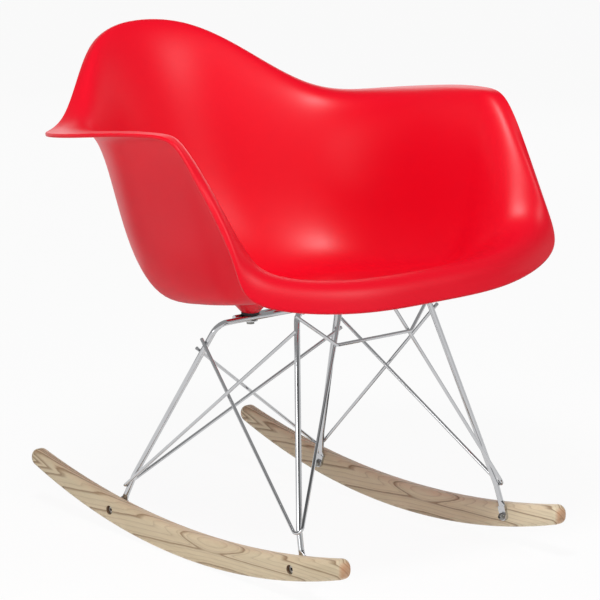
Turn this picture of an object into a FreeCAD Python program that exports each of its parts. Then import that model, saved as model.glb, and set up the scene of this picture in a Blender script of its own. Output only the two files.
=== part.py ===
import FreeCAD, Part
import math
import os

from FreeCAD import Placement, Rotation, Vector

# Moulded plastic rocking chair. Millimetres, +Z up, the sitter faces -Y, X = 0 is the middle.
# The origin is where the rockers touch the floor, midway between them.

doc = FreeCAD.newDocument("rocking_chair")
sheet = doc.addObject("Spreadsheet::Sheet", "sizes")

SIZES = {
    # The rockers
    "rocker_length": 680,  # length of a rocker from tip to tip
    "rocker_shift": 12,  # middle of that length, behind the place that touches the floor
    "rocker_floor_radius": 1080,  # radius of the edge that rolls on the floor
    "rocker_top_radius": 1450,  # radius of the upper edge
    "rocker_depth": 40,  # height of a rocker where it touches the floor
    "rocker_thickness": 22,  # thickness of the board
    "rocker_spacing": 380,  # from the middle of one rocker to the middle of the other
    "rocker_tip_round": 11.5,  # rounding of the tips seen from the side
    "rocker_edge_round": 8,  # rounding along every edge
    # The rods
    "leg_rod": 8,  # diameter of the heavy rod of the legs
    "brace_rod": 4.8,  # diameter of the thin rod of the braces
    "weld_gap": 0.1,  # space left between two rods where they are welded
    "leg_bend_radius": 20,  # bend of a leg rod, on its centre line
    "ankle_bend_radius": 14,  # slight bend of a leg rod above the rocker
    "brace_bend_radius": 8,  # bend of a brace rod, on its centre line
    "stretcher_bend_radius": 9,  # bend of the front stretcher, on its centre line
    "brace_end": 7,  # how far a brace runs past the rod it is welded to
    "brace_short_end": 1.5,  # the same under the seat, where there is less room
    # The two leg frames
    "front_bar_y": -134,  # front crossbar, along the depth
    "front_bar_z": 354,  # front crossbar, above the floor
    "front_corner_x": 111,  # where a front leg meets its crossbar
    "front_ankle_x": 174,  # front leg at its slight bend above the rocker, sideways
    "front_ankle_y": -215,  # the same bend, along the depth
    "front_ankle_z": 84,  # the same bend, above the floor
    "rear_bar_y": 38,  # rear crossbar, along the depth
    "rear_bar_z": 304,  # rear crossbar, above the floor
    "rear_corner_x": 107,  # where a rear leg meets its crossbar
    "rear_ankle_x": 168.5,  # rear leg at its slight bend above the rocker, sideways
    "rear_ankle_y": 147,  # the same bend, along the depth
    "rear_ankle_z": 80,  # the same bend, above the floor
    # The flattened feet and their bolts
    "front_bolt_y": -228,  # front bolt, along the depth
    "rear_bolt_y": 163,  # rear bolt, along the depth
    "front_bolt_rise": 17,  # front bolt above the floor edge of the rocker
    "rear_bolt_rise": 19.5,  # rear bolt above the floor edge of the rocker
    "paddle_thickness": 4,  # flattened end of a leg rod
    "paddle_width": 13,  # width of the flattened end
    "paddle_reach": 14,  # length of the flattened end above its bolt
    "paddle_neck": 7,  # length over which the round rod becomes flat
    "foot_bolt_diameter": 6,  # shank of the bolt through the rocker
    "foot_head_diameter": 10,  # domed head on the inner side
    "foot_head_height": 5.5,  # height of the domed head
    "foot_washer_diameter": 12,  # washer under the domed head
    "foot_washer_thickness": 1.6,  # thickness of that washer
    "hex_key": 4,  # socket for a hexagonal key, across its flats
    "key_depth": 2.4,  # depth of the socket
    "sleeve_diameter": 8.5,  # barrel of the sleeve nut in the rocker
    "sleeve_length": 13,  # length of that barrel under its head
    "foot_screw_end": 1.5,  # wall left at the closed end of a sleeve nut
    "sleeve_head_diameter": 11.5,  # head of the sleeve nut
    "sleeve_head_height": 2,  # height of the sleeve nut's head
    "counterbore_diameter": 12.5,  # recess on the outer face of the rocker
    "counterbore_depth": 5.5,  # depth of that recess
    "bore_clearance": 0.15,  # radial clearance of a bolt in its hole
    # The seat's mounts
    "seat_bolt_spacing": 90,  # from one boss to the other along a crossbar
    "bar_pitch": 13.5,  # from a crossbar to the short bar behind it
    "mount_bar_length": 136,  # length of the short bar
    "pad_diameter": 25,  # rubber pad between bars and boss
    "pad_thickness": 3.5,  # thickness of the pad
    "boss_foot_diameter": 26,  # lower end of a moulded boss
    "boss_flare": 0.9,  # growth of the boss radius for each millimetre of height
    "seat_bolt_diameter": 5,  # shank of the bolt into a boss
    "seat_bolt_grip": 5.5,  # thread of that bolt above the pad
    "seat_head_flats": 10,  # hexagonal head across its flats
    "seat_head_height": 4,  # height of the hexagonal head
    "seat_washer_diameter": 20,  # washer that clamps both bars
    "seat_washer_thickness": 1.6,  # thickness of that washer
    "insert_diameter": 9,  # brass insert in a boss
    "insert_length": 6.5,  # length of the insert
    # The shell
    "shell_wall": 5.5,  # wall of the moulded shell
    "shell_tilt": 10,  # how far the seat leans back, in degrees
    "shell_y": -53,  # middle of the seat pan, along the depth
    "shell_rise": 5,  # middle of the seat pan, above the front crossbar
    "pan_flat": 45,  # radius of the flat middle of the pan
    "pan_ring": 81,  # radius of the next ring of the pan, also flat
    "pan_share": 0.7,  # where the pan starts to rise, as a share of its reach
    # The braces
    "front_v_x": 185,  # lower corner of a front V, sideways
    "front_v_y": -229,  # lower corner of a front V, along the depth
    "front_v_z": 72,  # lower corner of a front V, above the floor
    "front_v_bar_x": 38,  # where the inner arm meets the front crossbar
    "front_v_hook_drop": 28,  # where the outer arm meets the rear leg, below its crossbar
    "rear_v_x": 181,  # lower corner of a rear V, sideways
    "rear_v_y": 166,  # lower corner of a rear V, along the depth
    "rear_v_z": 56,  # lower corner of a rear V, above the floor
    "rear_v_hook_drop": 29,  # where the outer arm meets the front leg, below its crossbar
    "rear_v_cross_drop": 42,  # where the crossing arm meets the far rear leg, below its crossbar
    # The front stretcher
    "stretcher_bend_drop": 50,  # level part of the stretcher, below the front crossbar
    "stretcher_end_drop": 11,  # where the stretcher meets a front leg, below the crossbar
    "stretcher_lead": 0.1,  # extra room at its bends, which are rounded
    # The curve of the shell between pan and rim
    "wall_low_out": 0.52,  # lower wall: share of the way out from pan to rim
    "wall_low_up": 0.3,  # lower wall: share of the way up from pan to rim
    "wall_high_out": 0.72,  # upper wall: share of the way out
    "wall_high_up": 0.76,  # upper wall: share of the way up
    "roll_out": 0.72,  # roll of the rim: share of the way out to the edge
    "roll_down": 0.3,  # roll of the rim: share of the way down to the edge
    "edge_round": 0.55,  # roundness of the edge, as a share of the wall
}

# The shell's rim, from the middle of the front lip round to the middle of the back. Each station
# gives, in the frame of the seat pan, the crest of the rim, the edge where its roll ends and how
# far the pan reaches below it.
STATIONS = {
    "lip_centre": (0, -207, 20, 0, -232, -20, 120),
    "lip_side": (128, -199, 25, 135, -224, -16, 124),
    "lip_corner": (222, -171, 48, 252, -187, 11, 136),
    "arm_low": (254, -151, 98, 272, -164, 70, 168),
    "arm_nose": (262, -119, 168, 278, -123, 165, 190),
    "arm_corner": (264, -80, 220, 284, -89, 219, 200),
    "arm_front": (262, -46, 234, 293, -48, 234, 204),
    "arm_middle": (257, 20, 240, 307, 20, 240, 202),
    "arm_rear": (249, 90, 243, 314, 98, 243, 204),
    "shoulder_low": (228, 153, 247, 290, 182, 246, 212),
    "shoulder": (188, 218, 265, 220, 241, 261, 216),
    "back_side": (128, 280, 327, 142, 297, 322, 216),
    "back_top": (68, 320, 370, 74, 337, 366, 213),
    "back_centre": (0, 334, 382, 0, 352, 377, 211),
}
MEASURES = ("rim_x", "rim_y", "rim_z", "edge_x", "edge_y", "edge_z", "pan_reach")
cells = dict(SIZES)
for station, numbers in STATIONS.items():
    for measure, number in zip(MEASURES, numbers):
        cells[f"{station}_{measure}"] = number
for row, (alias, number) in enumerate(cells.items(), 1):
    sheet.set(f"A{row}", alias.replace("_", " "))
    sheet.set(f"B{row}", str(number))
    sheet.setAlias(f"B{row}", alias)
doc.recompute()


def val(alias):
    """Read a size back from the sheet."""
    return float(sheet.get(alias))


def bind(feature, **expressions):
    """Tie properties of a feature to cells of the sheet."""
    for name, expression in expressions.items():
        feature.setExpression(name.replace("__", "."), expression)


def finished(shape, label):
    """A sub-part whose shape has no ready feature: a bent rod, a moulding, a set of fasteners."""
    feature = doc.addObject("Part::Feature", label)
    feature.Label = label
    feature.Shape = shape
    feature.Placement = Placement()
    return feature


SIDES = {"right": -1, "left": 1}
leg_radius = val("leg_rod") / 2
brace_radius = val("brace_rod") / 2
weld_leg = leg_radius + brace_radius + val("weld_gap")
weld_brace = 2 * brace_radius + val("weld_gap")
rocker_inside = (val("rocker_spacing") - val("rocker_thickness")) / 2


def floor_edge(y):
    """Height of a rocker's lower edge at a place along the depth."""
    radius = val("rocker_floor_radius")
    return radius - math.sqrt(radius * radius - y * y)


def top_edge(y):
    """Height of a rocker's upper edge at a place along the depth."""
    radius = val("rocker_top_radius")
    return val("rocker_depth") + radius - math.sqrt(radius * radius - y * y)


bolt_places = {
    "front": Vector(0, val("front_bolt_y"), floor_edge(val("front_bolt_y")) + val("front_bolt_rise")),
    "rear": Vector(0, val("rear_bolt_y"), floor_edge(val("rear_bolt_y")) + val("rear_bolt_rise")),
}


# Rods

SIDEWAYS, FORWARD = Vector(1, 0, 0), Vector(0, -1, 0)


def bent_wire(points, bends):
    """A polyline whose corners are rounded by tangent arcs of the given radii."""
    edges = []
    start = points[0]
    for corner, after, radius in zip(points[1:-1], points[2:], bends):
        back = (start - corner).normalize()
        ahead = (after - corner).normalize()
        half = back.getAngle(ahead) / 2
        reach = radius / math.tan(half)
        middle = (back + ahead).normalize() * (radius / math.sin(half) - radius)
        first, last = corner + back * reach, corner + ahead * reach
        edges.append(Part.LineSegment(start, first).toShape())
        edges.append(Part.Arc(first, corner + middle, last).toShape())
        start = last
    edges.append(Part.LineSegment(start, points[-1]).toShape())
    return Part.Wire(edges)


def rod(points, rod_radius, bends):
    """A round rod along a bent wire."""
    path = bent_wire(points, bends)
    profile = Part.Wire(Part.makeCircle(rod_radius, points[0], points[1] - points[0]))
    return path.makePipeShell([profile], True, False)


def at_height(low, high, z):
    """The point of a straight rod at a height."""
    return low + (high - low) * ((z - low.z) / (high.z - low.z))


def side_of(point, sign):
    """Mirror a point of the left side to the right side."""
    return Vector(point.x * sign, point.y, point.z)


ends = {}
for end in ("front", "rear"):
    corner = Vector(val(f"{end}_corner_x"), val(f"{end}_bar_y"), val(f"{end}_bar_z"))
    ankle = Vector(val(f"{end}_ankle_x"), val(f"{end}_ankle_y"), val(f"{end}_ankle_z"))
    ends[end] = {"corner": corner, "ankle": ankle, "bolt": bolt_places[end]}


def blade_top(end):
    """The middle of the upper end of a left leg's flattened foot, and the way up from its bolt."""
    ankle, bolt = ends[end]["ankle"], ends[end]["bolt"]
    centre = Vector(rocker_inside - val("paddle_thickness") / 2, bolt.y, bolt.z)
    toward = Vector(0, ankle.y - bolt.y, ankle.z - bolt.z).normalize()
    return centre, toward, centre + toward * val("paddle_reach")


def paddle(end):
    """The flattened foot of a left leg: where the round rod ends, the blade and its bolt hole."""
    half, broad = val("paddle_thickness") / 2, val("paddle_width") / 2
    centre, toward, top = blade_top(end)
    upward = (ends[end]["ankle"] - top).normalize()
    round_centre = top + upward * val("paddle_neck")
    round_end = Part.Wire(Part.makeCircle(leg_radius, round_centre, upward))
    oval = Part.Ellipse(top + toward.cross(SIDEWAYS) * broad, top + SIDEWAYS * half, top)
    neck = Part.makeLoft([round_end, Part.Wire(oval.toShape())], True)
    blade = Part.makeCylinder(broad, 2 * half, centre - SIDEWAYS * half, SIDEWAYS)
    strip = Part.makeBox(2 * half, 2 * broad, val("paddle_reach"), Vector(-half, -broad, 0))
    strip.Placement = Placement(centre, Rotation(Vector(0, 0, 1), toward))
    hole = Part.makeCylinder(val("foot_bolt_diameter") / 2 + val("bore_clearance"), 4 * half,
                             centre - SIDEWAYS * 2 * half, SIDEWAYS)
    return round_centre, neck.fuse([blade, strip]), hole


for end in ends:
    corner, ankle = ends[end]["corner"], ends[end]["ankle"]
    rod_end, foot, hole = paddle(end)
    half_frame = [rod_end, ankle, corner]
    points = [side_of(p, -1) for p in half_frame] + half_frame[::-1]
    bends = [val("ankle_bend_radius"), val("leg_bend_radius")]
    frame = rod(points, leg_radius, bends + bends[::-1])
    feet = [foot, foot.mirror(Vector(), SIDEWAYS)]
    holes = [hole, hole.mirror(Vector(), SIDEWAYS)]
    finished(frame.fuse(feet).cut(holes).removeSplitter(), f"{end}_leg_frame")


# Short bars behind the crossbars, each with two flats pressed in it where the seat bolts pass

mounts = {}
for end in ends:
    bar = ends[end]["corner"]
    mounts[end] = Vector(val("seat_bolt_spacing") / 2, bar.y + val("bar_pitch") / 2, bar.z)
    mount_bar = doc.addObject("Part::Cylinder", f"{end}_mount_bar")
    mount_bar.Label = f"{end}_mount_bar"
    mount_bar.Placement = Placement(Vector(0, 0, 0), Rotation(Vector(0, 1, 0), 90))
    bind(mount_bar, Radius="sizes.leg_rod / 2", Height="sizes.mount_bar_length",
         Placement__Base__x="-sizes.mount_bar_length / 2",
         Placement__Base__y=f"sizes.{end}_bar_y + sizes.bar_pitch",
         Placement__Base__z=f"sizes.{end}_bar_z")


# Braces: each is one thin rod bent to a V round the outside of a leg, just above its rocker

doc.recompute()


def beside(start, point, along, outward, distance):
    """Where an arm from start ends so that it just touches a rod that runs through point."""
    target = point
    for _ in range(3):
        normal = along.cross(target - start).normalize()
        if normal.dot(outward) < 0:
            normal = normal * -1
        target = point + normal * distance
    return target


def below_bar(end, drop):
    """The point of a leg at a given height below its crossbar."""
    return at_height(end["ankle"], end["corner"], end["corner"].z - val(drop))


def past_end(start, end, alias="brace_end"):
    """Run an arm on past the rod that it is welded to."""
    return end + (end - start).normalize() * val(alias)


front, rear = ends["front"], ends["rear"]
front_run = front["corner"] - front["ankle"]
rear_run = rear["corner"] - rear["ankle"]

front_low = Vector(val("front_v_x"), val("front_v_y"), val("front_v_z"))
front_hook = beside(front_low, below_bar(rear, "front_v_hook_drop"),
                    rear_run, SIDEWAYS, weld_leg)
bar_point = Vector(val("front_v_bar_x"), val("front_bar_y"), val("front_bar_z"))
front_inner = beside(front_low, bar_point, SIDEWAYS, FORWARD, weld_leg)

rear_low = Vector(val("rear_v_x"), val("rear_v_y"), val("rear_v_z"))
rear_hook = beside(rear_low, below_bar(front, "rear_v_hook_drop"),
                   front_run, SIDEWAYS, weld_leg)
far_leg = side_of(below_bar(rear, "rear_v_cross_drop"), -1)
far_run = side_of(rear_run, -1)

for side, sign in SIDES.items():
    arms = [past_end(front_low, front_hook), front_low, past_end(front_low, front_inner, "brace_short_end")]
    finished(rod([side_of(p, sign) for p in arms], brace_radius, [val("brace_bend_radius")]),
             f"{side}_front_brace")

    cross = beside(rear_low, far_leg, far_run, FORWARD * -sign, weld_leg)
    arms = [past_end(rear_low, rear_hook), rear_low, past_end(rear_low, cross)]
    finished(rod([side_of(p, sign) for p in arms], brace_radius, [val("brace_bend_radius")]),
             f"{side}_rear_brace")


# Front stretcher: a thin rod across the front, welded to the front legs and to the inner arms

doc.recompute()

arm_point = at_height(front_low, front_inner, front["corner"].z - val("stretcher_bend_drop"))
off_arm = (front_inner - front_low).cross(SIDEWAYS).normalize()
if off_arm.dot(FORWARD) < 0:
    off_arm = off_arm * -1
stretcher_bend = arm_point + off_arm * (weld_brace + val("stretcher_lead"))
leg_point = below_bar(front, "stretcher_end_drop")
stretcher_end = past_end(stretcher_bend, beside(stretcher_bend, leg_point, front_run, FORWARD, weld_leg))
stretcher = [side_of(stretcher_end, -1), side_of(stretcher_bend, -1), stretcher_bend, stretcher_end]
finished(rod(stretcher, brace_radius, [val("stretcher_bend_radius")] * 2), "front_stretcher")


# Rockers: a crescent of solid wood between two arcs, bored for the foot bolts

def across(feature, x):
    """Lay a cylinder along X from a place given by an expression."""
    feature.Placement = Placement(Vector(0, 0, 0), Rotation(Vector(0, 1, 0), 90))
    bind(feature, Placement__Base__x=x)


FULLEST_ROUND = 0.48  # share of its height that a tip's rounding may take


def runs_sideways(edge):
    """Whether an edge of a board crosses its thickness."""
    start, finish = edge.Vertexes[0].Point, edge.Vertexes[-1].Point
    return not math.isclose(start.x, finish.x)


def at_tip(edge):
    """Whether an edge of a board is at one of its two ends."""
    return any(math.isclose(edge.CenterOfMass.y, tip) for tip in tips_y)


tips_y = [val("rocker_shift") + way * val("rocker_length") / 2 for way in SIDES.values()]
tip_height = min(top_edge(tip) - floor_edge(tip) for tip in tips_y)
tip_round = min(val("rocker_tip_round"), tip_height * FULLEST_ROUND)

for side, sign in SIDES.items():
    inner_x = f"{sign} * sizes.rocker_spacing / 2 - sizes.rocker_thickness / 2"
    floor_disc = doc.addObject("Part::Cylinder", f"{side}_floor_disc")
    across(floor_disc, inner_x)
    bind(floor_disc, Radius="sizes.rocker_floor_radius", Height="sizes.rocker_thickness",
         Placement__Base__z="sizes.rocker_floor_radius")
    top_disc = doc.addObject("Part::Cylinder", f"{side}_top_disc")
    across(top_disc, inner_x)
    bind(top_disc, Radius="sizes.rocker_top_radius", Height="sizes.rocker_thickness",
         Placement__Base__z="sizes.rocker_top_radius + sizes.rocker_depth")
    crescent = doc.addObject("Part::Cut", f"{side}_crescent")
    crescent.Base, crescent.Tool = floor_disc, top_disc
    span = doc.addObject("Part::Box", f"{side}_span")
    bind(span, Length="sizes.rocker_thickness", Width="sizes.rocker_length",
         Height="sizes.rocker_floor_radius", Placement__Base__x=inner_x,
         Placement__Base__y="sizes.rocker_shift - sizes.rocker_length / 2")
    board = doc.addObject("Part::Common", f"{side}_board")
    board.Base, board.Tool = crescent, span
    doc.recompute()

    tips = doc.addObject("Part::Fillet", f"{side}_rounded_tips")
    tips.Base = board
    tips.Edges = [(i, tip_round, tip_round) for i, edge in enumerate(board.Shape.Edges, 1)
                  if runs_sideways(edge) and at_tip(edge)]
    doc.recompute()
    soft = doc.addObject("Part::Fillet", f"{side}_soft_edges")
    soft.Base = tips
    soft.Edges = [(i, val("rocker_edge_round"), val("rocker_edge_round"))
                  for i, edge in enumerate(tips.Shape.Edges, 1) if not runs_sideways(edge)]

    bores = []
    for end in ends:
        bolt = bolt_places[end]
        bore = doc.addObject("Part::Cylinder", f"{side}_{end}_bore")
        across(bore, inner_x)
        bind(bore, Radius="sizes.sleeve_diameter / 2 + sizes.bore_clearance",
             Height="sizes.rocker_thickness")
        recess = doc.addObject("Part::Cylinder", f"{side}_{end}_recess")
        outer_x = f"{sign} * (sizes.rocker_spacing + sizes.rocker_thickness) / 2"
        across(recess, outer_x if sign < 0 else f"{outer_x} - sizes.counterbore_depth")
        bind(recess, Radius="sizes.counterbore_diameter / 2", Height="sizes.counterbore_depth")
        for hole in (bore, recess):
            edge_z = "sizes.rocker_floor_radius - sqrt(sizes.rocker_floor_radius ^ 2 - "
            bind(hole, Placement__Base__y=f"sizes.{end}_bolt_y",
                 Placement__Base__z=f"{edge_z}sizes.{end}_bolt_y ^ 2) + sizes.{end}_bolt_rise")
            bores.append(hole)
    holes = doc.addObject("Part::MultiFuse", f"{side}_holes")
    holes.Shapes = bores
    rocker = doc.addObject("Part::Cut", f"{side}_rocker")
    rocker.Label = f"{side}_rocker"
    rocker.Base, rocker.Tool = soft, holes
doc.recompute()


# Foot fasteners: a button-head screw and its washer from inside, a sleeve nut from outside

def cylinder(name, radius, height, z="0"):
    """A cylinder along Z whose sizes come from the sheet."""
    feature = doc.addObject("Part::Cylinder", name)
    bind(feature, Radius=radius, Height=height, Placement__Base__z=z)
    return feature


def hexagon(name, flats, height, z="0"):
    """A hexagonal prism along Z, given across its flats."""
    feature = doc.addObject("Part::Prism", name)
    bind(feature, Circumradius=f"{flats} / (2 * cos(30))", Height=height, Placement__Base__z=z)
    return feature


def joined(kind, name, base, tool):
    """A boolean of two features."""
    feature = doc.addObject(kind, name)
    feature.Base, feature.Tool = base, tool
    return feature


def copies(master, places, label):
    """Identical fasteners: one separate solid at each place."""
    doc.recompute()
    solids = []
    for place in places:
        solid = master.Shape.copy()
        solid.Placement = place.multiply(solid.Placement)
        solids.append(solid)
    return finished(Part.makeCompound(solids), label)


foot_places, nut_places = [], []
for sign in SIDES.values():
    inward = Rotation(Vector(0, 0, 1), Vector(-sign, 0, 0))
    for end in ends:
        bolt = bolt_places[end]
        blade_x = sign * (rocker_inside - val("paddle_thickness"))
        foot_places.append(Placement(Vector(blade_x, bolt.y, bolt.z), inward))
        seat_x = sign * (rocker_inside + val("rocker_thickness") - val("counterbore_depth"))
        nut_places.append(Placement(Vector(seat_x, bolt.y, bolt.z), inward))

washer_disc = cylinder("foot_washer_disc", "sizes.foot_washer_diameter / 2", "sizes.foot_washer_thickness")
washer_hole = cylinder("foot_washer_hole", "sizes.foot_bolt_diameter / 2 + sizes.bore_clearance",
                       "sizes.foot_washer_thickness")
copies(joined("Part::Cut", "foot_washer", washer_disc, washer_hole), foot_places, "rocker_washers")

doc.recompute()
reach = ("(sizes.paddle_thickness + sizes.rocker_thickness - sizes.counterbore_depth"
         " - 2 * sizes.foot_screw_end)")
shank = cylinder("foot_shank", "sizes.foot_bolt_diameter / 2",
                 f"{reach} + sizes.foot_washer_thickness", f"-{reach}")
head_blank = cylinder("foot_head_blank", "sizes.foot_head_diameter / 2", "sizes.foot_head_height",
                      "sizes.foot_washer_thickness")
dome = doc.addObject("Part::Sphere", "foot_dome")
dome_radius = ("((sizes.foot_head_diameter / 2) ^ 2 + sizes.foot_head_height ^ 2)"
               " / (2 * sizes.foot_head_height)")
bind(dome, Radius=dome_radius,
     Placement__Base__z=f"sizes.foot_washer_thickness + sizes.foot_head_height - {dome_radius}")
head = joined("Part::Common", "foot_head", head_blank, dome)
screw_blank = joined("Part::Fuse", "foot_screw_blank", shank, head)
key = hexagon("foot_key", "sizes.hex_key", "sizes.key_depth",
              "sizes.foot_washer_thickness + sizes.foot_head_height - sizes.key_depth")
copies(joined("Part::Cut", "foot_screw", screw_blank, key), foot_places, "rocker_screws")

barrel = cylinder("sleeve_barrel", "sizes.sleeve_diameter / 2", "sizes.sleeve_length")
sleeve_head = cylinder("sleeve_head", "sizes.sleeve_head_diameter / 2", "sizes.sleeve_head_height",
                       "-sizes.sleeve_head_height")
sleeve_blank = joined("Part::Fuse", "sleeve_blank", barrel, sleeve_head)
thread = cylinder("sleeve_thread", "sizes.foot_bolt_diameter / 2 + sizes.bore_clearance",
                  "sizes.sleeve_length", "sizes.foot_screw_end")
threaded = joined("Part::Cut", "sleeve_threaded", sleeve_blank, thread)
sleeve_key = hexagon("sleeve_key", "sizes.hex_key", "sizes.sleeve_head_height",
                     "-sizes.sleeve_head_height")
copies(joined("Part::Cut", "sleeve_nut", threaded, sleeve_key), nut_places, "rocker_sleeve_nuts")


# Seat fasteners: washer and hexagon bolt from below, rubber pad above, brass insert in the boss

seat_places = []
for end in ends:
    for sign in SIDES.values():
        seat_places.append(Placement(side_of(mounts[end], sign), Rotation()))

clear_hole = "sizes.seat_bolt_diameter / 2 + sizes.bore_clearance"
rod_face = "sizes.leg_rod / 2 + sizes.weld_gap / 2"
pad_top = f"({rod_face} + sizes.pad_thickness)"
washer_face = f"({rod_face} + sizes.seat_washer_thickness)"
pad_disc = cylinder("pad_disc", "sizes.pad_diameter / 2", "sizes.pad_thickness", rod_face)
pad_hole = cylinder("pad_hole", clear_hole, "sizes.pad_thickness", rod_face)
copies(joined("Part::Cut", "pad", pad_disc, pad_hole), seat_places, "mount_pads")

plate = cylinder("seat_washer_disc", "sizes.seat_washer_diameter / 2", "sizes.seat_washer_thickness",
                 f"-{washer_face}")
plate_hole = cylinder("seat_washer_hole", clear_hole, "sizes.seat_washer_thickness", f"-{washer_face}")
copies(joined("Part::Cut", "seat_washer", plate, plate_hole), seat_places, "mount_washers")

seat_shank = cylinder("seat_shank", "sizes.seat_bolt_diameter / 2",
                      f"{washer_face} + {pad_top} + sizes.seat_bolt_grip", f"-{washer_face}")
seat_head = hexagon("seat_head", "sizes.seat_head_flats", "sizes.seat_head_height",
                    f"-{washer_face} - sizes.seat_head_height")
copies(joined("Part::Fuse", "seat_bolt", seat_shank, seat_head), seat_places, "mount_bolts")

insert_body = cylinder("insert_body", "sizes.insert_diameter / 2", "sizes.insert_length", pad_top)
insert_hole = cylinder("insert_hole", clear_hole, "sizes.insert_length", pad_top)
copies(joined("Part::Cut", "insert", insert_body, insert_hole), seat_places, "shell_inserts")


# Shell: one moulding, a skin of poles that runs from the pan over the rim and back below

doc.recompute()


def mirrored(points):
    """Close a half ring, front to back, with its mirror image."""
    return points + [side_of(p, -1) for p in points[-2:0:-1]]


CURVE_PASSES = 40


def through(points):
    """Poles of a closed cubic curve that passes through the points."""
    count = len(points)
    poles = list(points)
    for _ in range(CURVE_PASSES):
        reached = [(poles[i - 1] + poles[i] * 4 + poles[(i + 1) % count]) * (1 / 6)
                   for i in range(count)]
        poles = [pole + point - at for pole, point, at in zip(poles, points, reached)]
    return poles


def part_way(start, finish, out, up):
    """A point between two others, with one share for the plan and one for the height."""
    gap = finish - start
    return start + Vector(gap.x * out, gap.y * out, gap.z * up)


def shell_rings():
    """Rings of the upper skin from the middle of the pan to the edge."""
    names = list(STATIONS)
    rim = [Vector(*(val(f"{n}_rim_{axis}") for axis in "xyz")) for n in names]
    edge = [Vector(*(val(f"{n}_edge_{axis}") for axis in "xyz")) for n in names]
    outward = [Vector(p.x, p.y, 0).normalize() for p in rim]
    pan = [way * val(f"{n}_pan_reach") for way, n in zip(outward, names)]
    rings = [
        [way * val("pan_flat") for way in outward],
        [way * val("pan_ring") for way in outward],
        [point * val("pan_share") for point in pan],
        pan,
        [part_way(a, b, val("wall_low_out"), val("wall_low_up")) for a, b in zip(pan, rim)],
        [part_way(a, b, val("wall_high_out"), val("wall_high_up")) for a, b in zip(pan, rim)],
        rim,
        [part_way(a, b, val("roll_out"), val("roll_down")) for a, b in zip(rim, edge)],
        edge,
    ]
    return [mirrored(ring) for ring in rings]


def wall_directions(rings):
    """For each ring point, the direction from the upper skin to the lower one."""
    count = len(rings[0])
    result = []
    for k, ring in enumerate(rings):
        before, after = rings[max(k - 1, 0)], rings[min(k + 1, len(rings) - 1)]
        row = []
        for i in range(count):
            along = ring[(i + 1) % count] - ring[i - 1]
            outward = after[i] - before[i]
            row.append(along.cross(outward).normalize())
        result.append(row)
    return result


def shell_solid():
    """The moulding as one skin that runs over the edge, closed by the flat middle of the pan."""
    rings = shell_rings()
    inward = wall_directions(rings)
    if inward[0][0].z > 0:
        inward = [[way * -1 for way in row] for row in inward]
    wall = val("shell_wall")
    under = [[p + way * wall for p, way in zip(ring, row)] for ring, row in zip(rings, inward)]
    lead = [(b - a).normalize() * wall * val("edge_round") for a, b in zip(rings[-2], rings[-1])]
    lip = [[p + step for p, step in zip(ring, lead)] for ring in (rings[-1], under[-1])]
    rows = [through(ring) for ring in rings + lip + under[::-1]]
    spans, count = len(rows) - 3, len(rows[0])
    surface = Part.BSplineSurface()
    surface.buildFromPolesMultsKnots(rows, [4] + [1] * (spans - 1) + [4], [1] * (count + 1),
                                     list(range(spans + 1)), list(range(count + 1)),
                                     False, True, 3, 3)
    faces = [surface.toShape()]
    for u in (0, spans):
        faces.append(Part.Face(Part.Wire([surface.uIso(u).toShape()])))
    skin = Part.makeShell(faces)
    skin.sewShape()
    return Part.makeSolid(skin)


pan_frame = Placement(Vector(0, val("shell_y"), val("front_bar_z") + val("shell_rise")),
                      Rotation(Vector(1, 0, 0), -val("shell_tilt")))
moulding = shell_solid()
if moulding.Volume < 0:
    moulding.reverse()
moulding.Placement = pan_frame


def boss(place):
    """A moulded cone from the pad up into the wall of the pan, bored for its insert."""
    foot = leg_radius + val("weld_gap") / 2 + val("pad_thickness")
    low = place + Vector(0, 0, foot)
    pan_z = pan_frame.Base.z - (low.y - pan_frame.Base.y) * math.tan(math.radians(val("shell_tilt")))
    tall = 2 * (pan_z - low.z)
    foot_radius = val("boss_foot_diameter") / 2
    cone = Part.makeCone(foot_radius, foot_radius + tall * val("boss_flare"), tall, low)
    block = val("rocker_length")
    below = Part.makeBox(block, block, block, Vector(-block / 2, -block / 2, 0))
    drop = Vector(0, 0, -block - val("shell_wall") / 2)
    below.Placement = pan_frame.multiply(Placement(drop, Rotation()))
    pocket = Part.makeCylinder(val("insert_diameter") / 2, val("insert_length"), low)
    return cone.common(below), pocket


pieces = [boss(side_of(mounts[end], sign)) for end in ends for sign in SIDES.values()]
shell = moulding.fuse([cone for cone, _ in pieces]).cut([pocket for _, pocket in pieces])
finished(shell.removeSplitter(), "seat_shell")


# Check every feature and write each sub-part

NODES = ["seat_shell", "shell_inserts", "mount_pads", "mount_washers", "mount_bolts",
         "front_leg_frame", "rear_leg_frame", "front_mount_bar", "rear_mount_bar",
         "right_front_brace", "left_front_brace", "right_rear_brace", "left_rear_brace",
         "front_stretcher", "right_rocker", "left_rocker",
         "rocker_screws", "rocker_washers", "rocker_sleeve_nuts"]

doc.recompute()
for feature in doc.Objects:
    if "Invalid" in feature.State or "Error" in feature.State:
        raise RuntimeError(f"{feature.Label} did not build: {feature.State}")
os.makedirs("parts", exist_ok=True)
for label in NODES:
    shape = doc.getObjectsByLabel(label)[0].Shape
    if shape.isNull() or not shape.isValid() or not shape.Solids:
        raise RuntimeError(f"{label} has no valid solid")
    shape.exportStep(f"parts/{label}.step")
    print(label, len(shape.Solids), round(shape.Volume))
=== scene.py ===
import math

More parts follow.
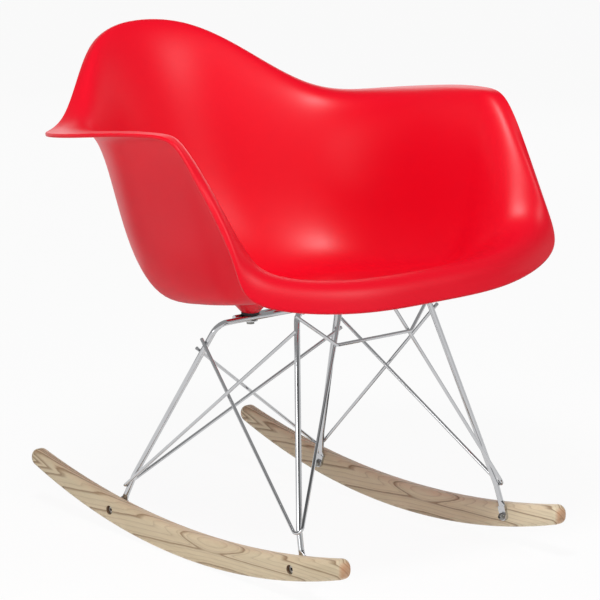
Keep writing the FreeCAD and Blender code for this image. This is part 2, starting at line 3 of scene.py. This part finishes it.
import bpy
import numpy as np
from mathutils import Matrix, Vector


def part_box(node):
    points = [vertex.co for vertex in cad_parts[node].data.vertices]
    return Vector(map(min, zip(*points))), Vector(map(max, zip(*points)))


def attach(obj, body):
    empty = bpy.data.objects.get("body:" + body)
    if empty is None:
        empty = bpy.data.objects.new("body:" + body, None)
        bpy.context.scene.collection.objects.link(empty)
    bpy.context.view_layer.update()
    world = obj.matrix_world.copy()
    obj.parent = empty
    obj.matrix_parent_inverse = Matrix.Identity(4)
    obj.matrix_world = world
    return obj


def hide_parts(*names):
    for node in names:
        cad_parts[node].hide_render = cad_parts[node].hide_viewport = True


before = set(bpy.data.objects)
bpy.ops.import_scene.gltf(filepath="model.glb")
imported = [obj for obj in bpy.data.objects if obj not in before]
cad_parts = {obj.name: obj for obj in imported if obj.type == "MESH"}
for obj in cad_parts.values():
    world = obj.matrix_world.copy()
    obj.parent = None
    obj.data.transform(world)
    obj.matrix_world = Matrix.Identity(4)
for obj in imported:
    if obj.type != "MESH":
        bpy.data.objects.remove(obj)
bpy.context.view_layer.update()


# Seat shell: one moulding of red polypropylene, about as thick as a pencil all over. Its rim rolls
# outwards from the front lip over the arms to the back, and the whole seat leans back a little.

MILLIMETRE = 0.001
SHELL_WALL = 5.5
SHELL_TILT = math.radians(10)
PAN_MIDDLE = np.array((0, -53, 359))
PAN_FLAT_RADII = (45, 81)
PAN_SHARE = 0.7
LOWER_WALL = (0.52, 0.3)  # shares of the way out and up, from the pan to the rim
UPPER_WALL = (0.72, 0.76)
ROLL = (0.72, 0.3)
EDGE_ROUND = 0.55  # as a share of the wall
SKIN_ROWS = 8  # faces between two rings, across the shell
SKIN_COLUMNS = 12  # faces between two stations, round the rim
TINY = 1e-9  # keeps the last point inside the last span, and divisions by empty spans safe

# From the middle of the front lip round to the middle of the back: the crest of the rim, the edge
# where its roll ends, and how far the pan reaches below it.
RIM = {
    "lip centre": ((0, -207, 20), (0, -232, -20), 120),
    "lip side": ((128, -199, 25), (135, -224, -16), 124),
    "lip corner": ((222, -171, 48), (252, -187, 11), 136),
    "arm low": ((254, -151, 98), (272, -164, 70), 168),
    "arm nose": ((262, -119, 168), (278, -123, 165), 190),
    "arm corner": ((264, -80, 220), (284, -89, 219), 200),
    "arm front": ((262, -46, 234), (293, -48, 234), 204),
    "arm middle": ((257, 20, 240), (307, 20, 240), 202),
    "arm rear": ((249, 90, 243), (314, 98, 243), 204),
    "shoulder low": ((228, 153, 247), (290, 182, 246), 212),
    "shoulder": ((188, 218, 265), (220, 241, 261), 216),
    "back side": ((128, 280, 327), (142, 297, 322), 216),
    "back top": ((68, 320, 370), (74, 337, 366), 213),
    "back centre": ((0, 334, 382), (0, 352, 377), 211),
}


def smooth_steps(count, per_span, closed):
    """Weights of the poles of a cubic curve, one row for each point along it."""
    if closed:
        knots = np.arange(-3, count + 4)
        spans = count
    else:
        spans = count - 3
        knots = np.concatenate([[0] * 3, np.arange(spans + 1), [spans] * 3])
    places = np.arange(spans * per_span + (not closed)) / per_span
    places = np.minimum(places, spans - TINY)
    weights = ((knots[:-1] <= places[:, None]) & (places[:, None] < knots[1:])).astype(float)
    for degree in (1, 2, 3):
        rise = places[:, None] - knots[:-degree - 1]
        fall = knots[degree + 1:] - places[:, None]
        wide_rise = np.maximum(knots[degree:-1] - knots[:-degree - 1], TINY)
        wide_fall = np.maximum(knots[degree + 1:] - knots[1:-degree], TINY)
        weights = weights[:, :-1] * rise / wide_rise + weights[:, 1:] * fall / wide_fall
    if closed:
        folded = np.zeros((len(places), count))
        for column in range(weights.shape[1]):
            folded[:, (column - 1) % count] += weights[:, column]
        return folded
    return weights


def unit(vectors):
    """Vectors with their length set to one."""
    return vectors / np.linalg.norm(vectors, axis=-1, keepdims=True)


def shell_skin():
    """Points of the whole skin: across the pan, over the rim and back below, ring by ring."""
    crest, edge = (np.array([station[k] for station in RIM.values()], float) for k in (0, 1))
    reach = np.array([station[2] for station in RIM.values()], float)
    outward = unit(crest * (1, 1, 0))
    pan = outward * reach[:, None]

    def between(start, end, shares):
        """Points a share of the way out and another share of the way up."""
        return start + (end - start) * (shares[0], shares[0], shares[1])

    upper = [outward * radius for radius in PAN_FLAT_RADII]
    upper += [pan * PAN_SHARE, pan]
    upper += [between(pan, crest, LOWER_WALL), between(pan, crest, UPPER_WALL)]
    upper += [crest, between(crest, edge, ROLL), edge]
    upper = np.array(upper)
    mirrored = upper[:, -2:0:-1] * (-1, 1, 1)
    upper = np.concatenate([upper, mirrored], axis=1)

    around = np.roll(upper, -1, axis=1) - np.roll(upper, 1, axis=1)
    inward_rings = np.concatenate([upper[:1], upper[:-1]])
    outward_rings = np.concatenate([upper[1:], upper[-1:]])
    below = unit(np.cross(around, outward_rings - inward_rings))
    if below[0, 0, 2] > 0:
        below = -below
    lower = upper + below * SHELL_WALL
    lead = unit(upper[-1] - upper[-2]) * SHELL_WALL * EDGE_ROUND
    rings = np.concatenate([upper, [upper[-1] + lead, lower[-1] + lead], lower[::-1]])

    through = smooth_steps(rings.shape[1], 1, closed=True)
    poles = np.stack([np.linalg.solve(through, ring) for ring in rings])
    down = smooth_steps(len(rings), SKIN_ROWS, closed=False)
    round_about = smooth_steps(rings.shape[1], SKIN_COLUMNS, closed=True)
    return np.einsum("rp,cq,pqx->rcx", down, round_about, poles)


def seated(points):
    """Lean points of the level shell back and put them in their place, in metres."""
    lean = np.array([[1, 0, 0],
                     [0, math.cos(SHELL_TILT), math.sin(SHELL_TILT)],
                     [0, -math.sin(SHELL_TILT), math.cos(SHELL_TILT)]])
    return (points @ lean.T + PAN_MIDDLE) * MILLIMETRE


def ring_mesh(name, rings):
    """A closed mesh through rings of points, each end closed by a fan on its middle."""
    count = rings.shape[1]
    end = (len(rings) - 1) * count
    first, last = end + count, end + count + 1
    middles = [rings[0].mean(axis=0), rings[-1].mean(axis=0)]
    points = np.concatenate([rings.reshape(-1, 3), middles])
    faces = []
    for row in range(0, end, count):
        for k in range(count):
            after = (k + 1) % count
            faces.append((row + k, row + after, row + count + after, row + count + k))
    for k in range(count):
        after = (k + 1) % count
        faces += [(first, after, k), (last, end + k, end + after)]
    mesh = bpy.data.meshes.new(name)
    mesh.from_pydata(points.tolist(), [], faces)
    mesh.validate()
    mesh.polygons.foreach_set("use_smooth", [True] * len(mesh.polygons))
    mesh.update()
    piece = bpy.data.objects.new(name, mesh)
    bpy.context.scene.collection.objects.link(piece)
    return piece


class Signal:
    """One socket of a finish, so that shader maths reads as plain expressions."""

    def __init__(self, finish, socket):
        self.finish = finish
        self.socket = socket

    def maths(self, operation, *values):
        """The result of a Math node on these values."""
        return self.finish.node("ShaderNodeMath", {"operation": operation},
                                dict(enumerate(values)), "Value")

    def __add__(self, other):
        return self.maths("ADD", self, other)

    def __radd__(self, other):
        return self.maths("ADD", other, self)

    def __sub__(self, other):
        return self.maths("SUBTRACT", self, other)

    def __rsub__(self, other):
        return self.maths("SUBTRACT", other, self)

    def __mul__(self, other):
        return self.maths("MULTIPLY", self, other)

    def __rmul__(self, other):
        return self.maths("MULTIPLY", other, self)

    def __truediv__(self, other):
        return self.maths("DIVIDE", self, other)

    def __rtruediv__(self, other):
        return self.maths("DIVIDE", other, self)

    def __pow__(self, other):
        return self.maths("POWER", self, other)

    def __rpow__(self, other):
        return self.maths("POWER", other, self)

    def __abs__(self):
        return self.maths("ABSOLUTE", self)

    def fraction(self):
        """What is left of the value above its last whole number."""
        return self.maths("FRACT", self)

    def clamped(self):
        """The same value, kept between nought and one."""
        return self.maths("MAXIMUM", self.maths("MINIMUM", self, 1.0), 0.0)


class Finish:
    """A material built from nodes around one Principled shader."""

    def __init__(self, name, **sockets):
        self.material = bpy.data.materials.new(name)
        self.material.use_nodes = True
        self.tree = self.material.node_tree
        self.shader = self.tree.nodes["Principled BSDF"]
        for socket, value in sockets.items():
            self.shader.inputs[socket.replace("_", " ")].default_value = value

    def node(self, kind, settings=None, inputs=None, output=0):
        """Add a node, set it up, feed its sockets and return one of its outputs."""
        node = self.tree.nodes.new(kind)
        for name, value in (settings or {}).items():
            if name == "stops":
                ramp = node.color_ramp
                while len(ramp.elements) < len(value):
                    ramp.elements.new(0.5)
                for element, (place, colour) in zip(ramp.elements, value):
                    element.position = place
                    element.color = colour
            else:
                setattr(node, name, value)
        for name, value in (inputs or {}).items():
            self.feed(node.inputs[name], value)
        return Signal(self, node.outputs[output])

    def feed(self, socket, value):
        """Link a signal to a socket, or set a plain value on it."""
        if isinstance(value, Signal):
            self.tree.links.new(value.socket, socket)
        else:
            socket.default_value = value

    def place(self):
        """Where a point of the surface is, in metres."""
        return self.node("ShaderNodeTexCoord", output="Object")

    def axis(self, vector, letter):
        """One of the three parts of a vector: X, Y or Z."""
        return self.node("ShaderNodeSeparateXYZ", None, {"Vector": vector}, letter)

    def noise(self, place, scale, detail=2.0, roughness=0.5, distortion=0.0):
        """Soft random patches, about as many to a metre as the scale says."""
        return self.node("ShaderNodeTexNoise", None,
                         {"Vector": place, "Scale": scale, "Detail": detail,
                          "Roughness": roughness, "Distortion": distortion}, "Fac")

    def blend(self, factor, first, second):
        """Mix two colours, which a Mix node takes as inputs 6 and 7 and gives as output 2."""
        return self.node("ShaderNodeMix", {"data_type": "RGBA"},
                         {0: factor, 6: first, 7: second}, 2)

    def paint(self, socket, value):
        """Feed one of the sockets of the shader itself."""
        self.feed(self.shader.inputs[socket], value)

    def bump(self, height, strength, distance):
        """Raise the surface a little where the height is larger."""
        sockets = {"Height": height, "Strength": strength, "Distance": distance}
        self.paint("Normal", self.node("ShaderNodeBump", None, sockets, "Normal"))

    def dress(self, piece):
        """Give a piece this finish all over."""
        piece.data.materials.clear()
        piece.data.materials.append(self.material)


RED = (0.86, 0.0012, 0.0160, 1)
RED_PALER = (0.88, 0.0030, 0.0220, 1)
FLOW_SCALE, SCUFF_SCALE, PORE_SCALE = 7, 60, 1100
PLASTIC_ROUGHNESS = 0.31
PORE_DEPTH = 0.00012

red_plastic = Finish("satin_red_plastic", Specular_IOR_Level=0.28)
spot = red_plastic.place()
flow = red_plastic.noise(spot, FLOW_SCALE, detail=4, distortion=0.4)
scuff = red_plastic.noise(spot, SCUFF_SCALE, detail=6, roughness=0.7)
pore = red_plastic.noise(spot, PORE_SCALE)
red_plastic.paint("Base Color", red_plastic.blend(flow * 0.5 + scuff * 0.2, RED, RED_PALER))
red_plastic.paint("Roughness", PLASTIC_ROUGHNESS + flow * 0.05 + scuff * 0.04 + pore * 0.04)
red_plastic.bump(pore + scuff * 0.3, 0.35, PORE_DEPTH)

skin = ring_mesh("seat_shell_skin", seated(shell_skin()))
red_plastic.dress(skin)
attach(skin, "root")
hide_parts("seat_shell")


# Bosses: four short cones moulded with the pan, which take the seat bolts. The rear ones are
# taller, because the seat leans back and their crossbar is lower.

BOSS_FOOT_RADIUS = 13
BOSS_FLARE = 0.9  # how much wider it gets with its height
BOSS_SIDES = 64
BOSS_RINGS = 8
BOSS_FILLET = 1.6
FILLET_SHARPNESS = 6
BOSS_FROM_MIDDLE = 45
BAR_TO_BOLT = 6.75  # from the middle of a mount bar forward to its bolts
BAR_TO_BOSS = 3.55  # the rubber pad and the gap on it

turns = np.linspace(0, 2 * math.pi, BOSS_SIDES, endpoint=False)
slope = math.tan(SHELL_TILT)
wall_z = PAN_MIDDLE[2] - SHELL_WALL / 2 / math.cos(SHELL_TILT)

for place in ("front", "rear"):
    bar_low, bar_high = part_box(f"{place}_mount_bar")
    foot_z = bar_high[2] / MILLIMETRE + BAR_TO_BOSS
    bolt_y = (bar_low[1] + bar_high[1]) / 2 / MILLIMETRE - BAR_TO_BOLT
    foot_y = bolt_y - PAN_MIDDLE[1] + BOSS_FOOT_RADIUS * np.sin(turns)
    tall = (wall_z - foot_z - foot_y * slope) / (1 + BOSS_FLARE * np.sin(turns) * slope)
    for side, name in ((-1, "right"), (1, "left")):
        rings = []
        for share in np.linspace(0, 1, BOSS_RINGS):
            radius = BOSS_FOOT_RADIUS + tall * share * BOSS_FLARE
            radius = radius + BOSS_FILLET * share ** FILLET_SHARPNESS
            rings.append(np.stack([side * BOSS_FROM_MIDDLE + radius * np.cos(turns),
                                   bolt_y + radius * np.sin(turns),
                                   foot_z + tall * share], axis=-1))
        boss = ring_mesh(f"{place}_{name}_boss", np.array(rings) * MILLIMETRE)
        red_plastic.dress(boss)
        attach(boss, "root")


# Wire base: rods bent to shape, welded where they cross, polished and chromium plated. The two leg
# frames and the short bars behind their crossbars are heavy rod, the braces and stretcher thin rod.

CHROME_BRIGHT = (0.60, 0.605, 0.615, 1)
CHROME_CLOUDED = (0.50, 0.505, 0.52, 1)
CHROME_ROUGHNESS = 0.08
CLOUD_SCALE, POLISH_SCALE = 30, 420
CLOUD_DEPTH = 0.0001

chrome = Finish("bright_chrome", Metallic=1.0)
spot = chrome.place()
cloud = chrome.noise(spot, CLOUD_SCALE, detail=4)
polish = chrome.noise(spot, POLISH_SCALE, detail=3)
chrome.paint("Base Color", chrome.blend(cloud, CHROME_BRIGHT, CHROME_CLOUDED))
chrome.paint("Roughness", CHROME_ROUGHNESS + cloud * 0.04 + polish * 0.02)
chrome.bump(cloud, 0.05, CLOUD_DEPTH)

for name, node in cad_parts.items():
    if name.endswith(("leg_frame", "mount_bar", "brace", "stretcher")):
        node.data.polygons.foreach_set("use_smooth", [True] * len(node.data.polygons))
        chrome.dress(node)


# Seat fasteners: a black rubber pad under each boss, a zinc-plated washer across both bars below
# it, and a hexagon-headed bolt up through them into a brass insert.

RUBBER_BLACK = (0.012, 0.012, 0.013, 1)
RUBBER_DUSTY = (0.03, 0.03, 0.032, 1)
DUST_SCALE = 300
DUST_DEPTH = 0.0003

rubber = Finish("black_rubber", Roughness=0.75)
dust = rubber.noise(rubber.place(), DUST_SCALE, detail=4)
rubber.paint("Base Color", rubber.blend(dust, RUBBER_BLACK, RUBBER_DUSTY))
rubber.bump(dust, 0.3, DUST_DEPTH)
rubber.dress(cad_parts["mount_pads"])

ZINC_DULL = (0.50, 0.50, 0.51, 1)
ZINC_BRIGHT = (0.68, 0.68, 0.68, 1)
ZINC_ROUGHNESS = 0.2
SPANGLE_SCALE = 700

zinc = Finish("zinc_plate", Metallic=1.0)
spangle = zinc.noise(zinc.place(), SPANGLE_SCALE, detail=3)
zinc.paint("Base Color", zinc.blend(spangle, ZINC_DULL, ZINC_BRIGHT))
zinc.paint("Roughness", ZINC_ROUGHNESS + spangle * 0.2)
zinc.dress(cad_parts["mount_washers"])

STEEL_GREY = (0.30, 0.295, 0.28, 1)
STEEL_TARNISHED = (0.16, 0.155, 0.145, 1)
STEEL_ROUGHNESS = 0.18
TARNISH_SCALE = 260
TARNISH_DEPTH = 0.0001

steel = Finish("dull_screw_steel", Metallic=1.0)
tarnish = steel.noise(steel.place(), TARNISH_SCALE, detail=4, roughness=0.7)
steel.paint("Base Color", steel.blend(tarnish, STEEL_GREY, STEEL_TARNISHED))
steel.paint("Roughness", STEEL_ROUGHNESS + tarnish * 0.2)
steel.bump(tarnish, 0.2, TARNISH_DEPTH)
steel.dress(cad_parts["mount_bolts"])

BRASS_DEEP = (0.62, 0.46, 0.20, 1)
BRASS_PALE = (0.74, 0.58, 0.30, 1)
TURNING_SCALE = 900

brass = Finish("turned_brass", Metallic=1.0, Roughness=0.3)
turned = brass.noise(brass.place(), TURNING_SCALE)
brass.paint("Base Color", brass.blend(turned, BRASS_DEEP, BRASS_PALE))
brass.dress(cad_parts["shell_inserts"])


# Rocker fasteners: a domed steel screw with a zinc washer holds each foot from inside. It runs into
# a bright round nut let into the outside; its key socket and the gap round its head get painted
# shade.

NUT_HEAD_RADIUS = 0.00575
NUT_RIM_SHARE = 0.86  # where the painted shade of the gap at the rim of the head begins
SOCKET_RADIUS = 0.0022
EDGE_SHARPNESS = 3000  # to a metre: the painted shade's edges are a third of a millimetre wide
NUT_DULL = (0.72, 0.71, 0.68, 1)
NUT_WORN = (0.55, 0.54, 0.51, 1)
# the colour of the painted shade in the key socket and round the head
NUT_PAINTED_SHADE = (0.03, 0.028, 0.025, 1)
NUT_ROUGHNESS = 0.25
NUT_TARNISH_SCALE = 500

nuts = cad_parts["rocker_sleeve_nuts"]
nut_points = np.array([tuple(vertex.co) for vertex in nuts.data.vertices])
NUT_PLACES = []
for end in (nut_points[nut_points[:, 1] < 0], nut_points[nut_points[:, 1] > 0]):
    NUT_PLACES.append(((end.min(axis=0) + end.max(axis=0)) / 2)[1:].tolist())


def from_nut(finish):
    """How far a point is from the axis of the nearest nut."""
    place = finish.place()
    y, z = finish.axis(place, "Y"), finish.axis(place, "Z")
    first, second = (((y - nut_y) * (y - nut_y) + (z - nut_z) * (z - nut_z)) ** 0.5
                     for nut_y, nut_z in NUT_PLACES)
    return first.maths("MINIMUM", first, second)


nut_steel = Finish("socket_nut_steel", Metallic=0.9)
out = from_nut(nut_steel)
tarnish = nut_steel.noise(nut_steel.place(), NUT_TARNISH_SCALE, detail=3)
# Painted shade: the key socket and the gap round the head are darkened where shade would fall.
in_socket = ((SOCKET_RADIUS - out) * EDGE_SHARPNESS + 0.5).clamped()
at_rim = ((out - NUT_HEAD_RADIUS * NUT_RIM_SHARE) * EDGE_SHARPNESS).clamped()
painted_shade = in_socket.maths("MAXIMUM", in_socket, at_rim * 0.85)
bare = nut_steel.blend(tarnish, NUT_DULL, NUT_WORN)
nut_steel.paint("Base Color", nut_steel.blend(painted_shade, bare, NUT_PAINTED_SHADE))
nut_steel.paint("Roughness", NUT_ROUGHNESS + tarnish * 0.15 + in_socket * 0.3)
nut_steel.dress(nuts)
steel.dress(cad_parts["rocker_screws"])
zinc.dress(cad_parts["rocker_washers"])


# Rockers: two boards of pale ash, sawn to a curve, sanded round and lacquered. The annual rings
# are cut slantwise, so they run out along the face in long arches.

ROCKER_X = sum(corner[0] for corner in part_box("left_rocker")) / 2
ROCKER_HALF_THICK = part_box("left_rocker")[1][0] - ROCKER_X
GRAIN_MIDDLE_Y = -0.060  # where the arches of the front half meet those of the rear half
GRAIN_MIDDLE_Z = 0.0189
GRAIN_MEETING = 0.04  # how softly the two halves meet
GRAIN_LEAN = -0.0425
GRAIN_CURVE = 0.1575
GRAIN_THROUGH = 7.0  # how fast the growth layers slope through the board's thickness
ARCH_ROUND = 0.0012
ARCH_SLOPE_REAR = 0.215
ARCH_SLOPE_FRONT = 0.15
ARCH_CHANGE = 12  # the slope changes over a twelfth of a metre
HEART_WANDER = 0.003
RING_WANDER = 0.008
RING_RAGGED = 0.010
DRIFT_SCALE = (14, 7, 22)
RAGGED_SCALE = (260, 30, 260)
CLOUDY_SCALE = (60, 9, 60)
FIBRE_SCALE = (1500, 45, 1500)
END_ARC_SCALE = (240, 10, 420)
RINGS = (-0.118, -0.065, 0.042, 0.1635, 0.2628, 0.3335, 0.366, 0.391, 0.412)
RING_LOW, RING_SPAN = -0.15, 0.60
RING_FADE, RING_STOP = 0.017, 0.0035  # each line fades in slowly and ends sharply
RING_CONTRAST = 1.3
FAINT_RINGS = 30  # to a metre of the same measure as RINGS
FAINT_CONTRAST = 7
FAINT_STOP, FAINT_STOP_SHARPNESS = 0.93, 14
WOOD_PALE = (0.740, 0.640, 0.450, 1)
WOOD_TAN = (0.580, 0.470, 0.300, 1)
LEFT_PALE_PAINTED_LIGHT = (0.860, 0.780, 0.570, 1)  # the left board is painted a little paler than the right: painted light for the shade it lies in
LEFT_TAN_PAINTED_LIGHT = (0.700, 0.590, 0.390, 1)
WOOD_LINE = (0.250, 0.145, 0.070, 1)
WOOD_END = (0.640, 0.300, 0.150, 1)
END_BEGINS, END_SHARPNESS = 0.45, 2.2
WOOD_ROUGHNESS = 0.42
FIBRE_DEPTH = 0.00012
RECESS_SHADE = (0.075, 0.042, 0.022, 1)
RECESS_RADIUS = 0.0066
RECESS_SHARPNESS = 2500

wood = Finish("pale_ash", Specular_IOR_Level=0.4)
spot = wood.place()
across, along, up = (wood.axis(spot, letter) for letter in "XYZ")


def streaks(finish, scale, **settings):
    """Noise with a different scale each way, for marks that follow the grain."""
    place = finish.node("ShaderNodeVectorMath", {"operation": "MULTIPLY"},
                        {0: finish.place(), 1: scale}, "Vector")
    return finish.noise(place, 1.0, **settings)


drift = streaks(wood, DRIFT_SCALE)
ragged = streaks(wood, RAGGED_SCALE, detail=3, roughness=0.6)
fibre = streaks(wood, FIBRE_SCALE, detail=3, roughness=0.6)
cloudy = streaks(wood, CLOUDY_SCALE, detail=3)
arcs = streaks(wood, END_ARC_SCALE, distortion=1.5)

# Which annual ring a point is in: a measure that rises from the middle of the board to both ends
# and falls away from the heart of the grain, so that its steps draw nested arches.
layer = across - across.maths("SIGN", across) * ROCKER_X + ROCKER_HALF_THICK
run = along - GRAIN_MIDDLE_Y
reach = (run * run + GRAIN_MEETING ** 2) ** 0.5
heart = GRAIN_MIDDLE_Z + run * GRAIN_LEAN + reach * GRAIN_CURVE
off_heart = up - heart + (drift - 0.5) * HEART_WANDER
slope = (run * ARCH_CHANGE).clamped() * (ARCH_SLOPE_REAR - ARCH_SLOPE_FRONT) + ARCH_SLOPE_FRONT
ring = reach - (off_heart * off_heart + ARCH_ROUND ** 2) ** 0.5 / slope
ring = ring + layer * GRAIN_THROUGH + (ragged - 0.5) * RING_RAGGED + (drift - 0.5) * RING_WANDER

stops = []
for place in RINGS:
    for offset, shade in ((-RING_FADE, 0.0), (-RING_STOP / 2, 1.0), (RING_STOP, 0.0)):
        stops.append(((place + offset - RING_LOW) / RING_SPAN, (shade, shade, shade, 1)))
line = wood.node("ShaderNodeValToRGB", {"stops": stops},
                 {"Fac": (ring - RING_LOW) * (1 / RING_SPAN)}, "Color")
line = wood.node("ShaderNodeRGBToBW", None, {"Color": line}, "Val") ** RING_CONTRAST
season = (ring * FAINT_RINGS + drift * 0.5).fraction()
faint_end = ((season - FAINT_STOP) * FAINT_STOP_SHARPNESS).clamped()
faint = season ** FAINT_CONTRAST * (1 - faint_end)

tan_share = (fibre * 1.1 + cloudy * 0.9 - 0.62).clamped()
# Painted light: the left board gets paler copies of both wood colours, to make up for its shade.
painted_light_left = (across / MILLIMETRE).clamped()
timber = wood.blend(tan_share, wood.blend(painted_light_left, WOOD_PALE, LEFT_PALE_PAINTED_LIGHT),
                    wood.blend(painted_light_left, WOOD_TAN, LEFT_TAN_PAINTED_LIGHT))
timber = wood.blend(faint * (0.25 + fibre * 0.4), timber, WOOD_LINE)
timber = wood.blend((line * (0.65 + fibre * 0.5)).clamped(), timber, WOOD_LINE)
facing = wood.axis(wood.node("ShaderNodeTexCoord", output="Normal"), "Y")
end_grain = ((abs(facing) - END_BEGINS) * END_SHARPNESS).clamped() * (0.35 + arcs * 0.6)
timber = wood.blend(end_grain, timber, WOOD_END)
in_recess = ((RECESS_RADIUS - from_nut(wood)) * RECESS_SHARPNESS).clamped()
timber = wood.blend(in_recess * 0.85, timber, RECESS_SHADE)
wood.paint("Base Color", timber)
wood.paint("Roughness", WOOD_ROUGHNESS + fibre * 0.16 - line * 0.05)
wood.bump(fibre + line * 0.5, 0.25, FIBRE_DEPTH)
for name in ("right_rocker", "left_rocker"):
    wood.dress(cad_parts[name])


# Studio: a pale floor that shows white, a world that is white near the horizon and dim overhead,
# four soft lamps, cards that only mirror rays see, for painted reflections, and a long-lens camera.

FLOOR_HALF = 30.0
FLOOR_WHITE_SHARE = 0.94  # the rest of what the camera sees of the floor keeps the shadows
FLOOR_PALE = (0.90, 0.90, 0.90, 1)
FLOOR_PALER = (0.94, 0.94, 0.94, 1)
FLECK_SCALE = 120
WHITE = (1, 1, 1, 1)


def background_rays(finish):
    """One where the background is seen straight, mirrored or through glass, else nought."""
    camera_ray, mirror_ray, glass_ray = (
        finish.node("ShaderNodeLightPath", output=name)
        for name in ("Is Camera Ray", "Is Glossy Ray", "Is Transmission Ray"))
    return (camera_ray + mirror_ray + glass_ray).clamped()


def flat_sheet(name, corners):
    """A flat sheet with four corners, for the studio."""
    mesh = bpy.data.meshes.new(name)
    mesh.from_pydata(corners, [], [(0, 1, 2, 3)])
    sheet = bpy.data.objects.new(name, mesh)
    bpy.context.scene.collection.objects.link(sheet)
    return sheet


floor = flat_sheet("floor", [(-FLOOR_HALF, -FLOOR_HALF, 0), (FLOOR_HALF, -FLOOR_HALF, 0),
                             (FLOOR_HALF, FLOOR_HALF, 0), (-FLOOR_HALF, FLOOR_HALF, 0)])
paper = Finish("white_floor", Roughness=0.9)
fleck = paper.noise(paper.place(), FLECK_SCALE, detail=3)
paper.paint("Base Color", paper.blend(fleck, FLOOR_PALE, FLOOR_PALER))
glow = paper.node("ShaderNodeEmission", None, {"Color": WHITE, "Strength": 1.0}, "Emission")
lit_paper = Signal(paper, paper.shader.outputs[0])
mixed = paper.node("ShaderNodeMixShader", None,
                   {0: background_rays(paper) * FLOOR_WHITE_SHARE, 1: lit_paper, 2: glow}, "Shader")
paper.feed(paper.tree.nodes["Material Output"].inputs["Surface"], mixed)
paper.dress(floor)

# A grey glowing card under the seat, a painted reflection, keeps the red of the shell out of the
# chrome, and three dark ones just above the floor, running outwards, paint dark lines along the
# rods.
CARD_Z = 0.002
CARDS = {
    "under_seat": (0.42, [(-0.34, -0.32, 0.398), (0.34, -0.32, 0.398),
                          (0.34, 0.36, 0.279), (-0.34, 0.36, 0.279)]),
    "floor_left": (0.03, [(-0.06, 0.30, CARD_Z), (-0.16, 0.30, CARD_Z),
                          (-1.0, 2.2, CARD_Z), (-0.3, 2.4, CARD_Z)]),
    "floor_right": (0.03, [(0.10, -0.32, CARD_Z), (0.22, -0.32, CARD_Z),
                           (1.3, -1.9, CARD_Z), (0.75, -2.2, CARD_Z)]),
    "floor_far": (0.03, [(0.24, 0.04, CARD_Z), (0.24, 0.12, CARD_Z),
                         (2.2, 1.1, CARD_Z), (2.35, 0.55, CARD_Z)]),
}
for name, (grey, corners) in CARDS.items():
    card = flat_sheet(name + "_card", corners)
    # Painted reflection: a glowing sheet that only mirror rays see.
    painted_reflection = Finish(name + "_felt", Base_Color=(0, 0, 0, 1), Roughness=1.0, Specular_IOR_Level=0.0,
                  Emission_Color=(grey, grey, grey, 1), Emission_Strength=1.0)
    painted_reflection.dress(card)
    card.visible_camera = False
    card.visible_diffuse = False
    card.visible_shadow = False

SKY_WHITE, SKY_DIM = 1.0, 0.15
SKY_LIGHT = 0.58  # how strongly the same sky lights the chair
DIM_FROM, DIM_RATE = 0.12, 3.5

world = bpy.data.worlds.new("studio")
bpy.context.scene.world = world
world.use_nodes = True


class Backdrop(Finish):
    """The world's own nodes, fed in the same way as a finish."""

    def __init__(self, own_world):
        self.tree = own_world.node_tree
        self.shader = self.tree.nodes["Background"]


backdrop = Backdrop(world)
height = backdrop.axis(backdrop.node("ShaderNodeTexCoord", output="Generated"), "Z")
overhead = ((height - DIM_FROM) * DIM_RATE).clamped()
shown = SKY_WHITE - overhead * (SKY_WHITE - SKY_DIM)
seen = background_rays(backdrop)
backdrop.paint("Color", WHITE)
backdrop.paint("Strength", shown * (seen + (1 - seen) * SKY_LIGHT))

LAMPS = {  # place, size and watts
    "key": ((-0.82, -0.60, 2.4), (0.5, 0.5), 34),
    "front": ((1.1, -1.9, 2.5), (0.6, 0.4), 15),
    "side": ((-3.0, -0.6, 1.0), (1.4, 1.0), 19),
    "rear": ((2.4, 2.4, 1.3), (2.2, 1.6), 9),
}
LAMP_AIM = (0, 0, 0.35)


def point_at(holder, place, aim):
    """Stand a lamp or the camera in its place, facing what it is aimed at."""
    holder.location = place
    holder.rotation_euler = (Vector(aim) - Vector(place)).to_track_quat("-Z", "Y").to_euler()
    bpy.context.scene.collection.objects.link(holder)


for name, (place, size, watts) in LAMPS.items():
    light = bpy.data.lights.new(name, "AREA")
    light.shape = "RECTANGLE"
    light.size, light.size_y = size
    light.energy = watts
    point_at(bpy.data.objects.new(name, light), place, LAMP_AIM)

CAMERA_PLACE = (-2.7518, -3.3200, 1.3136)
CAMERA_AIM = (0, -0.0070, 0.3297)
CAMERA_LENS = 195.17
CAMERA_SENSOR = 36

camera_data = bpy.data.cameras.new("camera")
camera_data.lens = CAMERA_LENS
camera_data.sensor_width = CAMERA_SENSOR
camera = bpy.data.objects.new("camera", camera_data)
point_at(camera, CAMERA_PLACE, CAMERA_AIM)
bpy.context.scene.camera = camera
bpy.context.scene.view_settings.view_transform = "Standard"
